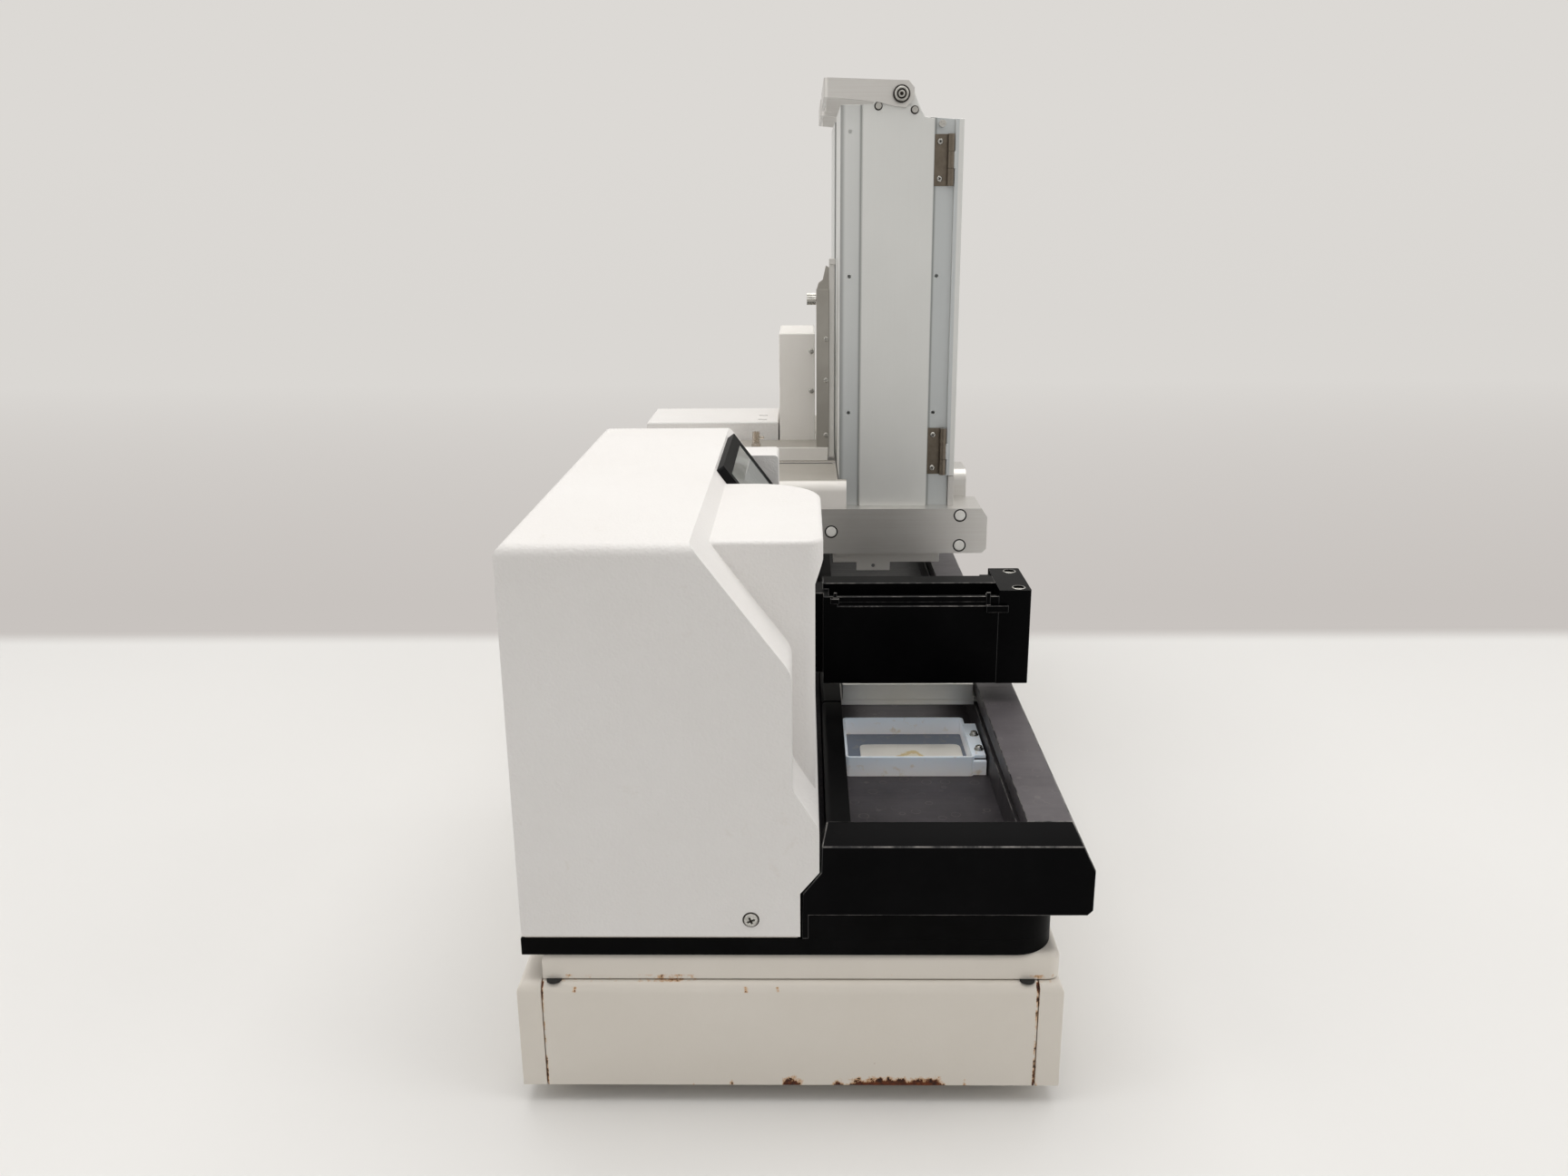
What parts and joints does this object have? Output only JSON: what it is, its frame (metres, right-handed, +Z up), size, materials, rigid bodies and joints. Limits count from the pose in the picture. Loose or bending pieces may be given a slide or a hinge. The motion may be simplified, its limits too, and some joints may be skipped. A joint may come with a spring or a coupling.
{
  "type": "reagent dispenser with plate stacker",
  "caption": "Bench reagent dispenser: a screen housing with a row of dispensing tips over a plate track, and lift-off stacker towers at the track's far end.",
  "frame": {"origin": "on the bench, under the centre of the whole instrument's bounding box", "axes": "+X along the plate track from the dispenser towards the stacker, +Y from the front (the track's side) to the rear, +Z up"},
  "size_m": [0.88, 0.337, 0.625],
  "materials": {
    "cream_paint": "satin",
    "black_coat": "satin",
    "white_moulding": "matte",
    "black_anodised": "satin",
    "clear_anodised": "satin",
    "steel": "brushed",
    "bright_steel": "polished",
    "rubber": "matte",
    "black_plastic": "matte",
    "screen_glass": "gloss",
    "milky_plastic": "gloss",
    "fibre_pad": "matte",
    "belt_rubber": "matte",
    "grey_paint": "satin",
    "clear_plastic": "gloss"
  },
  "bodies": {
    "body": {"cabinet_body": "cream_paint", "rear_cover": "cream_paint", "front_cover": "cream_paint", "feet": "rubber", "top_tray": "cream_paint", "tray_pads": "rubber", "base_plate": "black_coat", "pedestal": "black_coat", "housing_shell": "white_moulding", "inlet_module": "black_plastic", "head_cover": "white_moulding", "side_pod": "white_moulding", "screen_bezel": "black_plastic", "screen_glass": "screen_glass", "track_bed": "black_anodised", "rear_rail": "black_anodised", "front_rail": "black_anodised", "near_end_cap": "black_anodised", "far_end_cap": "black_anodised", "drive_belt": "belt_rubber", "drive_motor": "steel", "waste_trough": "milky_plastic", "trough_pad": "fibre_pad", "trough_screws": "bright_steel", "lift_guide": "steel", "stacker_base": "cream_paint", "stacker_column": "grey_paint", "deck_cover": "clear_anodised", "cover_plugs": "white_moulding", "deck_plate": "clear_anodised", "column_caps": "cream_paint", "tower_stops": "clear_anodised", "cross_beam": "cream_paint", "mast": "clear_anodised", "guide_strip": "grey_paint", "tall_box": "grey_paint", "low_box": "white_moulding", "clear_fitting": "clear_plastic", "case_screws": "steel"},
    "carriage": {"carriage_sled": "clear_anodised", "plate_nest": "clear_anodised"},
    "arm": {"arm_beam": "black_anodised", "arm_end_block": "black_anodised", "arm_screws": "steel", "tip_bar": "steel", "arm_clips": "bright_steel"},
    "drive": {"drive_pulley": "clear_anodised"},
    "idler": {"idler_pulley": "clear_anodised"},
    "knob": {"mast_knob": "bright_steel"},
    "switch": {"power_switch": "black_plastic"},
    "tower_a": {"tower_a": "clear_anodised", "tower_fittings_a": "steel"},
    "door_a": {"tower_door_a": "clear_anodised"},
    "bail_a": {"tower_bail_a": "steel"},
    "gripper_a": {"gripper_a": "grey_paint"},
    "tower_b": {"tower_b": "clear_anodised", "tower_fittings_b": "steel"},
    "door_b": {"tower_door_b": "clear_anodised"},
    "bail_b": {"tower_bail_b": "steel"},
    "gripper_b": {"gripper_b": "grey_paint"}
  },
  "joints": [
    {"name": "carriage_slide", "type": "slide", "parent": "body", "child": "carriage", "axis": [1, 0, 0], "range_m": [-0.215, 0.446]},
    {"name": "drive_spin", "type": "hinge", "parent": "body", "child": "drive", "pos_m": [0.40798, -0.14148, 0.1505], "axis": [0, 1, 0], "continuous": true},
    {"name": "idler_spin", "type": "hinge", "parent": "body", "child": "idler", "pos_m": [-0.40598, -0.14148, 0.1505], "axis": [0, 1, 0], "continuous": true},
    {"name": "arm_lift", "type": "slide", "parent": "body", "child": "arm", "axis": [0, 0, 1], "range_m": [-0.004, 0.02]},
    {"name": "knob_turn", "type": "hinge", "parent": "body", "child": "knob", "pos_m": [0.14302, -0.02148, 0.4389], "axis": [0, 1, 0], "continuous": true},
    {"name": "switch_rock", "type": "hinge", "parent": "body", "child": "switch", "pos_m": [-0.12798, 0.15902, 0.153], "axis": [1, 0, 0], "range_deg": [-9, 9]},
    {"name": "tower_a_lift", "type": "slide", "parent": "body", "child": "tower_a", "axis": [0, 0, 1], "range_m": [0, 0.06]},
    {"name": "door_a_swing", "type": "hinge", "parent": "tower_a", "child": "door_a", "pos_m": [0.04502, -0.12772, 0.44], "axis": [0, 0, -1], "range_deg": [0, 110]},
    {"name": "bail_a_swing", "type": "hinge", "parent": "tower_a", "child": "bail_a", "pos_m": [0.11802, -0.08468, 0.6115], "axis": [1, 0, 0], "range_deg": [0, 90]},
    {"name": "gripper_a_slide", "type": "slide", "parent": "body", "child": "gripper_a", "axis": [0, 0, 1], "range_m": [-0.018, 0]},
    {"name": "tower_b_lift", "type": "slide", "parent": "body", "child": "tower_b", "axis": [0, 0, 1], "range_m": [0, 0.06]},
    {"name": "door_b_swing", "type": "hinge", "parent": "tower_b", "child": "door_b", "pos_m": [0.24302, -0.12772, 0.44], "axis": [0, 0, -1], "range_deg": [0, 110]},
    {"name": "bail_b_swing", "type": "hinge", "parent": "tower_b", "child": "bail_b", "pos_m": [0.31602, -0.08468, 0.6115], "axis": [1, 0, 0], "range_deg": [0, 90]},
    {"name": "gripper_b_slide", "type": "slide", "parent": "body", "child": "gripper_b", "axis": [0, 0, 1], "range_m": [-0.018, 0]}
  ],
  "couplings": [
    {"joint": "drive_spin", "follows": "carriage_slide", "rad_per_m": 99.01},
    {"joint": "idler_spin", "follows": "carriage_slide", "rad_per_m": 99.01}
  ]
}
